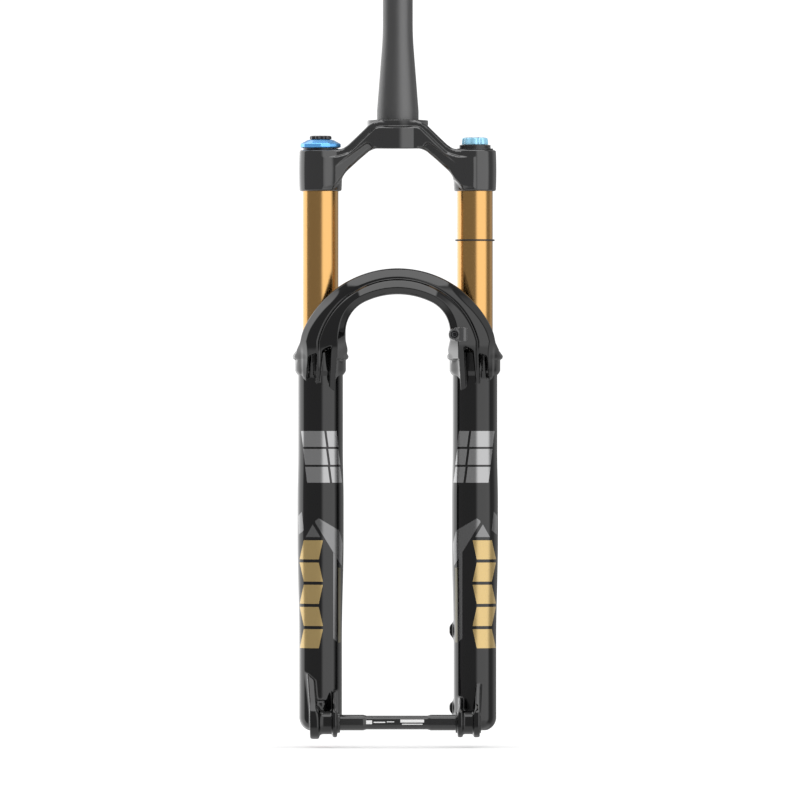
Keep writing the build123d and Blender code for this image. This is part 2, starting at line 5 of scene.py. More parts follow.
import bmesh
import bpy
import numpy as np
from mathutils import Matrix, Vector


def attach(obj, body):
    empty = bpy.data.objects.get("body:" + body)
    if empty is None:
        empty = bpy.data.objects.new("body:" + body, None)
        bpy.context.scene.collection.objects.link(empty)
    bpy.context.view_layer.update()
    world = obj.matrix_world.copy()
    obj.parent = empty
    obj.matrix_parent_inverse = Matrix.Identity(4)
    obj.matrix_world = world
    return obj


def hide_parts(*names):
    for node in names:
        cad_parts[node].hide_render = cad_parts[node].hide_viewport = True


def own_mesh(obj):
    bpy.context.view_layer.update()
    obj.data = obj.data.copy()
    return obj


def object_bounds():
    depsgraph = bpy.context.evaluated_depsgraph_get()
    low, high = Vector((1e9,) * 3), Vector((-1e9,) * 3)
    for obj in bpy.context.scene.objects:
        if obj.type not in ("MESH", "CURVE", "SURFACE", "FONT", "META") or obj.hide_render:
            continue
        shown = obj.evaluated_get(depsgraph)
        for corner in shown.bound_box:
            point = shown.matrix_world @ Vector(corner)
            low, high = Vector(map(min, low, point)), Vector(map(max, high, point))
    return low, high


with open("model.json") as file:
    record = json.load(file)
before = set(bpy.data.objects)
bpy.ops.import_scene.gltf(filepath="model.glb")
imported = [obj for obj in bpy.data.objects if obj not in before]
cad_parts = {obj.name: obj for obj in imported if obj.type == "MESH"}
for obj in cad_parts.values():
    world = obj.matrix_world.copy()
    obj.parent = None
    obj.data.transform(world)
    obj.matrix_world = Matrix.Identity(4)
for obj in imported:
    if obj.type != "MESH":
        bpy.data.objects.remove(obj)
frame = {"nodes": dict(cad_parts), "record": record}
cad_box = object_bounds()

MM = 0.001


# ---- signed distance fields, in millimetres: negative inside ----------------------------------------------


def join(a, b, k):
    """Union with a fillet about k wide."""
    h = np.maximum(k - np.abs(a - b), 0) / k
    return np.minimum(a, b) - h * h * k / 4


def meet(a, b, k):
    """Intersection with its edge rounded about k wide."""
    return -join(-a, -b, k)


def cut(a, b, k):
    """a without b, its edge rounded about k wide."""
    return -join(-a, b, k)


def smooth_step(low, high, v):
    """0 below low, 1 above high, with a soft S between."""
    t = np.clip((v - low) / (high - low), 0, 1)
    return t * t * (3 - 2 * t)


def box_field(x, y, z, centre, half, r):
    """A box with rounded edges."""
    q = [np.abs(v - c) - (h - r) for v, c, h in zip((x, y, z), centre, half)]
    outside = np.sqrt(sum(np.maximum(v, 0) ** 2 for v in q))
    return outside + np.minimum(np.maximum(np.maximum(q[0], q[1]), q[2]), 0) - r


def drum_field(along, radial, low, high, radius, r):
    """A cylinder between two ends, with rounded rims. radial is the distance from its axis."""
    u = np.abs(along - (low + high) / 2) - ((high - low) / 2 - r)
    v = radial - (radius - r)
    return np.hypot(np.maximum(u, 0), np.maximum(v, 0)) + np.minimum(np.maximum(u, v), 0) - r


def hull_field(u, v, corners, r):
    """A convex outline of half planes in a plane, corners in anticlockwise order, rounded by r."""
    d = np.full(np.broadcast(u, v).shape, -1e9)
    for (u0, v0), (u1, v1) in zip(corners, corners[1:] + corners[:1]):
        length = np.hypot(u1 - u0, v1 - v0)
        d = meet(d, ((u - u0) * (v1 - v0) - (v - v0) * (u1 - u0)) / length, r)
    return d


BLOCK = 8  # cells on each side of the blocks that a field is first tried in
STEEPEST, SPARE = 1.6, 1.0  # a field's greatest slope, and millimetres allowed beyond a block's reach
PULLS = 3  # how often each place is pulled towards the true surface


def grid_values(field, places):
    """A field's values on a grid: true ones near its surface, one for each block of cells elsewhere."""
    shape = [len(g) for g in places]
    starts = [np.arange(0, n - 1, BLOCK) for n in shape]
    ends = [np.minimum(s + BLOCK, n - 1) for s, n in zip(starts, shape)]
    middles = [(g[s] + g[e]) / 2 for g, s, e in zip(places, starts, ends)]
    halves = [(g[e] - g[s]) / 2 for g, s, e in zip(places, starts, ends)]
    blocks = np.meshgrid(*[np.arange(len(s)) for s in starts], indexing="ij")
    rough = field(*[m[b.ravel()] for m, b in zip(middles, blocks)]).reshape(blocks[0].shape)
    reach = np.sqrt(sum(h[b] ** 2 for h, b in zip(halves, blocks))) * STEEPEST + SPARE
    near = np.abs(rough) < reach
    for axis, n in enumerate(shape):
        # the last place of each axis belongs to the last block
        pad = [(0, int(a == axis)) for a in range(3)]
        rough, near = (np.pad(np.repeat(v, BLOCK, axis=axis), pad, mode="edge").take(np.arange(n), axis)
                       for v in (rough, near))
    # a block's far faces are shared with the next block, so they are worked out too
    for axis in range(3):
        near = near | np.roll(near, 1, axis=axis)
    values = rough.astype(np.float32)
    i, j, k = np.nonzero(near)
    values[i, j, k] = field(places[0][i], places[1][j], places[2][k])
    return values


def cell_places(places, values):
    """The mean of its edges' crossings for each cell that the surface passes through, and each cell's number."""
    inside = values < 0
    corners = [(a, b, c) for a in (0, 1) for b in (0, 1) for c in (0, 1)]
    count = np.zeros([n - 1 for n in values.shape], np.int8)
    for corner in corners:
        count += inside[tuple(slice(c, n - 1 + c) for c, n in zip(corner, values.shape))]
    cells = np.nonzero((count > 0) & (count < len(corners)))
    number = np.full(count.shape, -1, np.int64)
    number[cells] = np.arange(len(cells[0]))
    at = np.zeros((len(cells[0]), 3))
    hits = np.zeros(len(cells[0]))
    for corner in corners:
        near_end = [n + c for n, c in zip(cells, corner)]
        v0 = values[tuple(near_end)].astype(float)
        p0 = np.stack([g[n] for g, n in zip(places, near_end)], 1)
        for axis in range(3):
            if corner[axis]:
                continue
            far_end = [n + (a == axis) for a, n in enumerate(near_end)]
            v1 = values[tuple(far_end)].astype(float)
            p1 = np.stack([g[n] for g, n in zip(places, far_end)], 1)
            crossed = (v0 < 0) != (v1 < 0)
            t = np.where(crossed, v0 / np.where(crossed, v0 - v1, 1), 0)
            at += crossed[:, None] * (p0 + t[:, None] * (p1 - p0))
            hits += crossed
    return at / hits[:, None], number


def cell_quads(inside, number):
    """A face across every grid edge that crosses the surface, from the four cells round it."""
    quads = []
    for axis in range(3):
        u, v = (axis + 1) % 3, (axis + 2) % 3
        here, there = [slice(1, -1)] * 3, [slice(1, -1)] * 3
        here[axis], there[axis] = slice(0, -1), slice(1, None)
        edges = np.stack(np.nonzero(inside[tuple(here)] != inside[tuple(there)]), 1)
        edges[:, u] += 1
        edges[:, v] += 1
        ring = []
        for du, dv in ((0, 0), (-1, 0), (-1, -1), (0, -1)):
            cells = edges.copy()
            cells[:, u] += du
            cells[:, v] += dv
            ring.append(number[tuple(cells.T)])
        ring = np.stack(ring, 1)
        flip = ~inside[tuple(edges.T)]
        ring[flip] = ring[flip][:, ::-1]
        quads.append(ring)
    return np.concatenate(quads)


def sculpt(field, grid):
    """Meshes the surface where a field is zero, on a grid of three rising lists of places."""
    places = [np.asarray(g, float) for g in grid]
    values = grid_values(field, places)
    at, number = cell_places(places, values)
    # each place is pulled on to the true surface, by half a cell at most
    half_cell = 0.5 * min(np.diff(g).min() for g in places)
    for _ in range(PULLS):
        slope = gradient(field, at)
        step = field(*at.T)[:, None] * slope / np.maximum((slope * slope).sum(1), 0.05)[:, None]
        length = np.sqrt((step * step).sum(1))
        at -= step * np.minimum(1, half_cell / np.maximum(length, 1e-9))[:, None]
    return at, cell_quads(values < 0, number)


def gradient(field, at, h=0.08):
    """The field's slope at many places."""
    g = np.empty_like(at)
    for axis in range(3):
        step = np.zeros(3)
        step[axis] = h
        g[:, axis] = (field(*(at + step).T) - field(*(at - step).T)) / (2 * h)
    return g


# ---- the fork's own dimensions, in millimetres -------------------------------------------------------------
LEG_X, LEG_Y = 73.75, -10.0
AXLE_Y, AXLE_Z = -44.0, -575.3
CASTING_TOP, LEG_FOOT = -221.0, -584.0
CLAMP_TOP, CLAMP_BOTTOM = -29.1, -68.3
STEERER_BORE, CLAMP_BORE = 20.3, 17.0  # radii in the crown
POST_X, POSTS = 56.4, ((-488.0, 6.4), (-562.2, 5.6))  # the brake posts: middle height and half height
POST_ROUND = 4.6  # the radius that rounds a post's corners
GUIDE_X, GUIDE_Z = 53.8, -205.5  # the hose guide's screw
ARCH_Z, ARCH_R = -241.7, 99.4  # the arch's outer edge
CREASE_Z, CREASE_R = -230.3, 78.0  # the crease between the two bands of the arch's face
FOOT_Z = -212.0  # below this the arch's face bends back to the leg
RIB_TOP, RIB_TIP = -216.0, -259.6  # the ribs at the arch's feet
FLANGE_R, FLANGE_FOOT = 24.2, -246.0  # a leg's flange, and where its plain part starts
LEG_SHAPE = [(-597, 20.35), (-497, 20.35), (-402, 22.05), (-364, 22.05), (-316, 21.3), (-245.5, 21.3),
             (-239.5, FLANGE_R), (-230.0, FLANGE_R), (-227.9, 26.4), (-226.4, 26.7), (-221, 23.8)]


def leg_radius(z):
    """A lower leg's outer radius at each height."""
    r = np.full(np.shape(z), LEG_SHAPE[0][1])
    for (z0, r0), (z1, r1) in zip(LEG_SHAPE, LEG_SHAPE[1:]):
        r = r + (r1 - r0) * smooth_step(z0, z1, z)
    return r


def arch_space(ax, z):
    """Distance from the space under the arch: a long crest arc, two tight hips and straight sides."""
    crest_z, hip_x, hip_z, hip_r = -239.9, 17.65, -203.3, 32.05
    side = ax - hip_x
    crest = np.hypot(ax, z - crest_z) - np.hypot(hip_x, hip_z - crest_z)
    hip = np.hypot(ax - hip_x, z - hip_z)
    over = ax * (hip_z - crest_z) <= hip_x * (z - crest_z)
    outside = np.where(over, crest, hip)
    inside_corner = np.maximum(side, crest)
    d = np.where(z <= hip_z, side, np.where((side > 0) | (crest > 0), outside, inside_corner))
    return d - hip_r


def arch_front(ax, z):
    """How far forward the arch's face stands: two bands and a crease between, a lip inside, a flank outside."""
    drop = np.maximum(FOOT_Z - z, 0)
    easing = 10.0
    below = np.where(drop < easing, drop * drop / (2 * easing), drop - easing / 2)
    level = np.maximum(z, FOOT_Z)
    outer = np.hypot(ax, level - ARCH_Z) - ARCH_R
    space = arch_space(ax, level)
    crease = np.hypot(ax, level - CREASE_Z) - CREASE_R
    side = smooth_step(-155, -205, level)
    low = smooth_step(-198, -226, z)
    share = np.clip(-crease / np.maximum(space - crease - 6.0, 1.0), -0.2, 1.1)
    flat = smooth_step(-150, -178, level)
    outer_band = -52.0 + (0.85 - 0.4 * flat) * crease
    inner_band = -52.0 - 7.0 * share
    lip = -52.6 + 20.0 * low - (1.0 - 0.15 * side + 2.4 * low) * space
    flank = -37.0 - 7.0 * (1 - flat) + 6.5 * low + (1.15 + 0.45 * flat + 0.45 * low) * outer
    front = np.where(crease > 0, outer_band, inner_band)
    front = front + (1.1 + 0.4 * side) * np.exp(-((crease / 1.25) ** 2))
    front = -join(-front, -lip, 1.2)
    front = -join(-front, -flank, 1.2)
    return front + below * (0.70 - 0.14 * smooth_step(60, 76, ax) + 0.3 * smooth_step(90, 93, ax))


def slot_field(ax, z, middle, half, ceiling, slope):
    """A slot between two ribs, open below. It leans outwards as it goes down, and its ceiling slopes."""
    lean = 3.2 * (RIB_TOP - z) / (RIB_TOP - RIB_TIP)
    u = ax - middle - lean
    return meet(np.abs(u) - half - 0.02 * np.maximum(ceiling - z, 0), z - ceiling + slope * u, 2.5)


def arch_field(ax, y, z):
    """The arch, hollowed from behind between cross ribs, and the ribs that run from its feet on to the legs."""
    outer = np.hypot(ax, z - ARCH_Z) - ARCH_R
    space = arch_space(ax, z)
    front = arch_front(ax, z)
    face = (front - y) * 0.72
    rear = -36.0 + 12.0 * smooth_step(-211, -222, z)
    flare = 2.6 * smooth_step(-209, -224, z)
    outline = meet(outer, -space - flare, 0.8)
    body = meet(meet(outline, y - rear, 1.6), -228.4 - z, 1.2)
    down = (RIB_TOP - z) / (RIB_TOP - RIB_TIP)
    ribs = np.abs(ax - 74.0 - 1.6 * down) - 16.6 + 1.1 * down
    ribs = meet(ribs, RIB_TIP + 0.3 * (ax - 60) - z, 1.5)
    ribs = meet(ribs, z + 205, 1.0)
    radial = np.hypot(ax - LEG_X, y - LEG_Y)
    ribs = meet(ribs, np.where(z > FLANGE_FOOT, y + 20.0, np.maximum(19.5 - radial, y + 16.0)), 0.5)
    body = meet(join(body, ribs, 1.0), face, 1.6)
    body = cut(body, box_field(ax, y, z, (55.4, -45, -237.5), (1.2, 30, 3.2), 1.0), 0.5)
    hollow = meet(outline + 4.5, face + 3.6, 3.0)
    hollow = meet(hollow, -197.0 - z, 3.0)
    # ribs across the hollow, at even angles round a point under the arch
    pitch, hub_z, half_width = radians(30), -226, 1.8
    angle = np.arctan2(ax, z - hub_z)
    cross = np.abs((angle + pitch / 2) % pitch - pitch / 2) * np.hypot(ax, z - hub_z) - half_width
    return cut(body, cut(hollow, cross, 3.0), 1.2)


def foot_pockets(ax, y, z):
    """Pockets between the ribs down to the collar, with a thin rib standing back in the outer one."""
    inner = slot_field(ax, z, 67.3, 4.3, -218.2, 0.45)
    thin = np.abs(ax - 82.0) - 0.7 - 0.08 * np.maximum(-228.0 - z, 0)
    thin = np.maximum(thin, (arch_front(ax, z) + 2.5 - y) * 0.72)
    outer = meet(slot_field(ax, z, 80.4, 4.0, -224.4, 0.36), -thin, 0.6)
    floor = np.minimum(leg_radius(z), FLANGE_R) + 0.1
    beyond = np.maximum(floor - np.hypot(ax - LEG_X, y - LEG_Y), y + 24.0)
    return meet(np.minimum(inner, outer), beyond, 1.0)


def bridge_field(x, y, z):
    """The upper part of the lower casting: the arch, its feet, and each leg's flange, collar and bores."""
    x, y, z = np.broadcast_arrays(np.asarray(x, float), y, z)
    ax = np.abs(x)
    radial = np.hypot(ax - LEG_X, y - LEG_Y)
    neck = meet(meet(radial - leg_radius(z), z - CASTING_TOP, 1.2), -244.0 - z, 0.8)
    arch = arch_field(ax, y, z)
    boss = drum_field(y, np.hypot(ax - GUIDE_X, z - GUIDE_Z), -60.0, -40, 5.3, 0.8)
    arch = np.where(x > 0, join(arch, boss, 2.0), arch)
    d = join(neck, arch, 2.0 + 5.0 * smooth_step(-205, -224, z))
    d = cut(d, foot_pockets(ax, y, z), 1.2)
    d = cut(d, np.maximum(radial - 23.3, CASTING_TOP - z), 0.6)
    bore = np.maximum(radial - 21.0, -229.0 - z)
    return cut(d, np.minimum(bore, radial - 18.4), 0.8)


def leg_field(ax, y, z):
    """One lower leg below its collar, with its rounded foot."""
    radial = np.hypot(ax - LEG_X, y - LEG_Y) - leg_radius(np.minimum(z, FLANGE_FOOT))
    corner = 13.0
    u, v = radial + corner, LEG_FOOT + corner - z
    foot = np.hypot(np.maximum(u, 0), np.maximum(v, 0)) + np.minimum(np.maximum(u, v), 0) - corner
    return meet(foot, z + 240.0, 0.8)


def dropout_plate(x, y, z, x_top, x_low, width, top_z, rim_r):
    """A plate from the leg's front down to a rim round the axle."""
    lean = np.clip((z - top_z) / (AXLE_Z - top_z), -0.2, 1.2)
    across = np.abs(x - x_top - (x_low - x_top) * lean) - width / 2
    rim = np.hypot(y - AXLE_Y, z - AXLE_Z) - rim_r
    front = AXLE_Y - rim_r * 0.72, AXLE_Z + rim_r * 0.72
    corners = [(-31.0, top_z), (-20.0, top_z), (-20.0, -583.0), (-40.0, AXLE_Z - rim_r + 1), front]
    web = hull_field(z, y, [(v, u) for u, v in corners], 1.5)
    return meet(join(rim, web, 6.0), across, 1.6)


def bar_field(x, y, z, low, high, radius, r=1.0):
    """A drum on the wheel axle's line."""
    return drum_field(x, np.hypot(y - AXLE_Y, z - AXLE_Z), low, high, radius, r)


def damper_dropout(x, y, z):
    """Dropout on the damper leg: a broad outer flange, a barrel and an inner rim."""
    d = bar_field(x, y, z, -83.7, -75.4, 15.0, 1.2)
    d = join(d, bar_field(x, y, z, -80, -60, 11.1), 5.0)
    d = join(d, bar_field(x, y, z, -61.6, -58.4, 13.5, 1.0), 2.5)
    d = join(d, bar_field(x, y, z, -60, -55.0, 9.8, 0.5), 1.0)
    plate = meet(dropout_plate(x, y, z, -83.2, -79.6, 6.6, -529, 14.8), z + 532.0 + 0.9 * (x + 83.0), 1.2)
    d = join(d, plate, 2.0)
    d = join(d, dropout_plate(x, y, z, -60.4, -60.0, 3.6, -546, 13.2), 2.0)
    block = box_field(x, y, z, (-71, -32, -574), (10, 10, 8.5), 3.0)
    shelf = box_field(x, y, z, (-74.0, -30, -559.5), (6.0, 11.0, 5.4), 4.5)
    return join(join(d, block, 4.0), shelf, 3.0)


def air_dropout(x, y, z):
    """Dropout on the air leg: a spool between two rims."""
    d = bar_field(x, y, z, 60, 75, 11.1)
    d = join(d, bar_field(x, y, z, 57.2, 61.6, 13.5, 1.0), 2.5)
    d = join(d, bar_field(x, y, z, 72.6, 77.8, 13.5, 1.0), 2.5)
    d = join(d, bar_field(x, y, z, 55.0, 79.8, 9.9, 0.5), 1.0)
    d = join(d, dropout_plate(x, y, z, 60.0, 59.6, 3.4, -552, 13.2), 2.0)
    d = join(d, dropout_plate(x, y, z, 76.9, 75.4, 4.6, -539, 13.2), 2.0)
    block = box_field(x, y, z, (67.5, -32, -574), (8, 10, 8.5), 3.0)
    return join(d, block, 4.0)


def brake_posts(x, y, z):
    """Two posts behind the air leg and the web between each and the leg."""
    d = np.full(np.shape(x), 1e3)
    for post_z, half in POSTS:
        u, v = np.abs(x - POST_X) - 2.4, np.abs(z - post_z) - (half - POST_ROUND)
        post = np.hypot(np.maximum(u, 0), np.maximum(v, 0)) + np.minimum(np.maximum(u, v), 0) - POST_ROUND
        post = meet(post, np.abs(y - 8.0) - 16.0, 0.8)
        web = box_field(x, y, z, (64.5, 3.0, post_z), (9.0, 11.0, half - 0.8), 3.0)
        d = np.minimum(d, join(post, web, 5.0))
    return d


def leg_bores(x, y, z):
    """The legs' bores and feet, the axle's bore and seats, and the holes in the brake posts."""
    radial = np.hypot(np.abs(x) - LEG_X, y - LEG_Y)
    bore = np.minimum(np.maximum(radial - 18.45, -398.0 - z), np.maximum(radial - 17.85, -566.0 - z))
    foot = np.minimum(radial - 4.15, np.maximum(radial - 10.6, z + 576.0))
    radial = np.hypot(y - AXLE_Y, z - AXLE_Z)
    seats = np.minimum(np.maximum(radial - 8.95, 72.0 - x), np.maximum(radial - 9.05, x + 60.0))
    axle = np.minimum(np.maximum(radial - 7.55, -61.0 - x), seats)
    holes = [np.maximum(np.hypot(x - POST_X, z - post_z) - 3.05, 8.0 - y) for post_z, _ in POSTS]
    return np.minimum(np.minimum(np.minimum(bore, foot), axle), np.minimum(*holes))


def legs_field(x, y, z):
    """Both lower legs with their dropouts, and the brake posts, bored."""
    x, y, z = np.broadcast_arrays(np.asarray(x, float), y, z)
    d = leg_field(np.abs(x), y, z)
    for side, low_part in ((x < 0, damper_dropout), (x > 0, air_dropout)):
        m = (z < -515) & side
        if m.any():
            d[m] = join(d[m], low_part(x[m], y[m], z[m]), 3.0)
    m = (z < -470) & (x > 0)
    if m.any():
        d[m] = join(d[m], brake_posts(x[m], y[m], z[m]), 5.0)
    return cut(d, leg_bores(x, y, z), 0.9)


def spaced(*stretches):
    """Rising places from stretches of (start, end, step)."""
    places = [np.arange(a, b - s / 2, s) for a, b, s in stretches]
    return np.concatenate(places + [[stretches[-1][1]]])


# ---- crown --------------------------------------------------------------------------------------------------


def eased_line(points, width):
    """A line through points with its corners eased over about width, as evenly spaced places and heights."""
    places, heights = np.array(points, float).T
    fine = np.arange(places[0] - 2 * width, places[-1] + 2 * width, 0.25)
    line = np.interp(fine, places, heights)
    window = np.hanning(int(width / 0.25) * 2 + 1)
    pad = len(window) // 2
    padded = np.pad(line, pad, mode="edge")
    return fine, np.convolve(padded, window / window.sum(), mode="valid")


CROWN_TOP = eased_line([(0, -0.6), (17.5, -0.8), (21.9, -1.9), (27.8, -5.2), (32.3, -9.8), (41.6, -18.8),
                        (47.8, -24.6), (52.0, -27.4), (58.0, -29.1), (80.0, -29.1)], 2.5)
CROWN_UNDER = eased_line([(0, -28.0), (21.0, -28.0), (27.1, -30.6), (36.9, -38.9), (49.3, -50.3), (54.5, -58.0),
                          (61.0, -65.5), (80.0, -68.3)], 2.5)
CROWN_REAR = eased_line([(0, 26.0), (12.0, 24.0), (22.0, 15.0), (34.0, 7.0), (46.0, 4.0), (58.0, 7.0),
                         (66.0, 10.0), (80.0, 10.0)], 4.0)
CROWN_BAND = eased_line([(0, -40.0), (20.0, -35.0), (25.5, -24.0), (29.0, -21.8), (33.0, -24.4), (45.7, -33.9),
                         (58.8, -44.0), (66.0, -49.0), (80.0, -52.0)], 2.0)
CROWN_STEP = -26.6


def crown_front(x, from_top, from_under, from_band):
    """How far forward the crown's face stands: steps along its top edge, a bulge over the hub, a lower band."""
    hub = 1 - smooth_step(18, 24, np.abs(x))
    plain = join(-32.4 + x * x / 70.0, -29.4, 0.4)
    lower = smooth_step(-0.8, 1.4, from_band) * (1 - hub)
    plain = plain + 0.105 * lower * np.maximum(60.0 - np.abs(x), 0)
    face = plain + 0.9 * np.maximum(2.6 - from_under, 0) * (1 - hub)
    face = CROWN_STEP + (face - CROWN_STEP) * smooth_step(5.0, 7.8, from_top)
    return face + 0.9 * np.maximum(2.2 - from_top, 0)


def crown_field(x, y, z):
    """Forged crown: flange and hub for the steerer, two sloping arms and two stanchion clamps."""
    x, y, z = np.broadcast_arrays(np.asarray(x, float), y, z)
    ax = np.abs(x)
    top = np.interp(ax, *CROWN_TOP)
    under = np.interp(ax, *CROWN_UNDER)
    tilt = 1 - 0.27 * smooth_step(20, 28, ax) * (1 - smooth_step(44, 54, ax))
    under = under + 0.05 * (y + 30)
    from_top, from_under = (top - z) * tilt, (z - under) * tilt
    face = crown_front(x, from_top, from_under, np.interp(ax, *CROWN_BAND) - z)
    rear = np.interp(ax, *CROWN_REAR)
    web_behind = 4.0 * smooth_step(3, 6, from_top) * smooth_step(3, 6, from_under)
    rear = rear - web_behind * smooth_step(24, 32, ax) * (1 - smooth_step(50, 58, ax))
    arms = meet(meet(-from_top, -from_under, 1.0), (face - y) * 0.8, 1.2)
    arms = meet(arms, (y - rear) * 0.8, 2.0)
    arms = meet(arms, ax - 72.0, 2.0)
    radial = np.hypot(ax - LEG_X, y - LEG_Y)
    middle_z = (CLAMP_TOP + CLAMP_BOTTOM) / 2
    barrel = 20.5 - 0.5 * ((z - middle_z) / 19.6) ** 2
    d = join(arms, drum_field(z, radial - barrel + 20.4, CLAMP_BOTTOM, CLAMP_TOP, 20.4, 1.8), 3.0)
    around = np.hypot(x, y)
    d = join(d, drum_field(z, around, -26.6, -0.6, 26.0, 1.5), 3.0)
    flange = meet(drum_field(z, around, -5.6, -0.4, 29.0, 0.8), -26.0 - y, 1.0)
    d = join(d, flange, 1.0)
    return cut(d, np.minimum(around - STEERER_BORE, radial - CLAMP_BORE), 0.8)


# ---- meshes -------------------------------------------------------------------------------------------------


def mesh_object(name, vertices, faces, sharp=None):
    """An object from vertices in millimetres. Edges sharper than an angle in degrees stay crisp."""
    mesh = bpy.data.meshes.new(name)
    mesh.from_pydata([[c * MM for c in v] for v in vertices], [], faces)
    mesh.validate()
    mesh.polygons.foreach_set("use_smooth", [True] * len(mesh.polygons))
    if sharp is not None:
        mesh.set_sharp_from_angle(angle=radians(sharp))
    piece = bpy.data.objects.new(name, mesh)
    bpy.context.scene.collection.objects.link(piece)
    return piece


def sculpted(name, field, grid):
    """A piece meshed from a field, with the field's own slope as its normals."""
    at, quads = sculpt(field, grid)
    normals = gradient(field, at, 0.15)
    normals /= np.maximum(np.linalg.norm(normals, axis=1), 1e-6)[:, None]
    mesh = bpy.data.meshes.new(name)
    mesh.vertices.add(len(at))
    mesh.vertices.foreach_set("co", (at * MM).ravel())
    mesh.loops.add(len(quads) * 4)
    mesh.loops.foreach_set("vertex_index", quads.ravel().astype(np.int32))
    mesh.polygons.add(len(quads))
    mesh.polygons.foreach_set("loop_start", np.arange(0, len(quads) * 4, 4, dtype=np.int32))
    mesh.update(calc_edges=True)
    mesh.polygons.foreach_set("use_smooth", [True] * len(quads))
    mesh.normals_split_custom_set_from_vertices(normals)
    piece = bpy.data.objects.new(name, mesh)
    bpy.context.scene.collection.objects.link(piece)
    return piece


def eased_outline(points, closed):
    """An outline with each corner replaced by a small arc. A point is (radius, height) or (…, …, ease)."""
    out = []
    count = len(points)
    for n, point in enumerate(points):
        here = np.array(point[:2], float)
        ease = point[2] if len(point) > 2 else 0.3
        if (not closed and n in (0, count - 1)) or ease == 0:
            out.append(tuple(here))
            continue
        before = np.array(points[n - 1][:2], float) - here
        after = np.array(points[(n + 1) % count][:2], float) - here
        reach = min(ease, 0.45 * np.linalg.norm(before), 0.45 * np.linalg.norm(after))
        start = here + before / np.linalg.norm(before) * reach
        end = here + after / np.linalg.norm(after) * reach
        for t in (0.0, 0.25, 0.5, 0.75, 1.0):
            p = (1 - t) ** 2 * start + 2 * t * (1 - t) * here + t * t * end
            out.append(tuple(p))
    return out


TURNED_SHARP = 28  # degrees


def laid(along, u, v, h):
    """A place at u, v across an axis and h along it."""
    return {"z": (u, v, h), "x": (h, u, v), "y": (u, h, v)}[along]


def turned(name, points, middle=(0, 0), along="z", sides=128, rim=None):
    """A turned piece. A point is (radius, height) or (…, …, ease); rim(angle, radius) scales a radius."""
    closed = points[0][0] > 0
    line = eased_outline(points, closed)
    vertices, faces, rows = [], [], []
    for r, h in line:
        count = 1 if r <= 1e-6 else sides
        rows.append(range(len(vertices), len(vertices) + count))
        for s in range(count):
            angle = 2 * pi * s / sides
            reach = r * (rim(angle, r) if rim else 1)
            u, v = reach * cos(angle), reach * sin(angle)
            vertices.append(laid(along, middle[0] + u, middle[1] + v, h))
    pairs = list(zip(rows, rows[1:])) + ([(rows[-1], rows[0])] if closed else [])
    for low, high in pairs:
        for s in range(sides):
            t = (s + 1) % sides
            ring = [low[s % len(low)], low[t % len(low)], high[t % len(high)], high[s % len(high)]]
            ring = list(dict.fromkeys(ring))
            if len(ring) > 2:
                faces.append(ring)
    piece = mesh_object(name, vertices, faces, TURNED_SHARP)
    outward(piece)
    return piece


def outward(piece):
    """Turns every face to look outwards."""
    shape = bmesh.new()
    shape.from_mesh(piece.data)
    bmesh.ops.recalc_face_normals(shape, faces=shape.faces)
    shape.to_mesh(piece.data)
    shape.free()


def prism(name, corners, low, high, middle, along="z"):
    """A straight-sided cutter from an outline in a plane, between two ends."""
    count = len(corners)
    vertices = [laid(along, middle[0] + u, middle[1] + v, end) for end in (low, high) for u, v in corners]
    faces = [list(range(count))[::-1], list(range(count, 2 * count))]
    faces += [[n, (n + 1) % count, (n + 1) % count + count, n + count] for n in range(count)]
    piece = mesh_object(name, vertices, faces)
    outward(piece)
    return piece


def hexagon(across_flats):
    """The corners of a hexagon."""
    r = across_flats / 2 / cos(pi / 6)
    return [(r * cos(pi / 3 * n), r * sin(pi / 3 * n)) for n in range(6)]


def carve(piece, cutters):
    """Cuts the cutters from a piece and removes them."""
    for cutter in cutters:
        change = piece.modifiers.new("cut", "BOOLEAN")
        change.operation = "DIFFERENCE"
        change.solver = "EXACT"
        change.object = cutter
    depsgraph = bpy.context.evaluated_depsgraph_get()
    mesh = bpy.data.meshes.new_from_object(piece.evaluated_get(depsgraph))
    piece.modifiers.clear()
    piece.data = mesh
    for cutter in cutters:
        bpy.data.objects.remove(cutter)
    return piece


def placed(piece, body, nodes, finish):
    """Gives a piece its body, the CAD nodes that it stands for, and its material."""
    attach(piece, body)
    if nodes:
        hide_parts(*nodes)
    piece.data.materials.clear()
    piece.data.materials.append(MATERIALS[finish])
    return piece


# ---- materials ----------------------------------------------------------------------------------------------

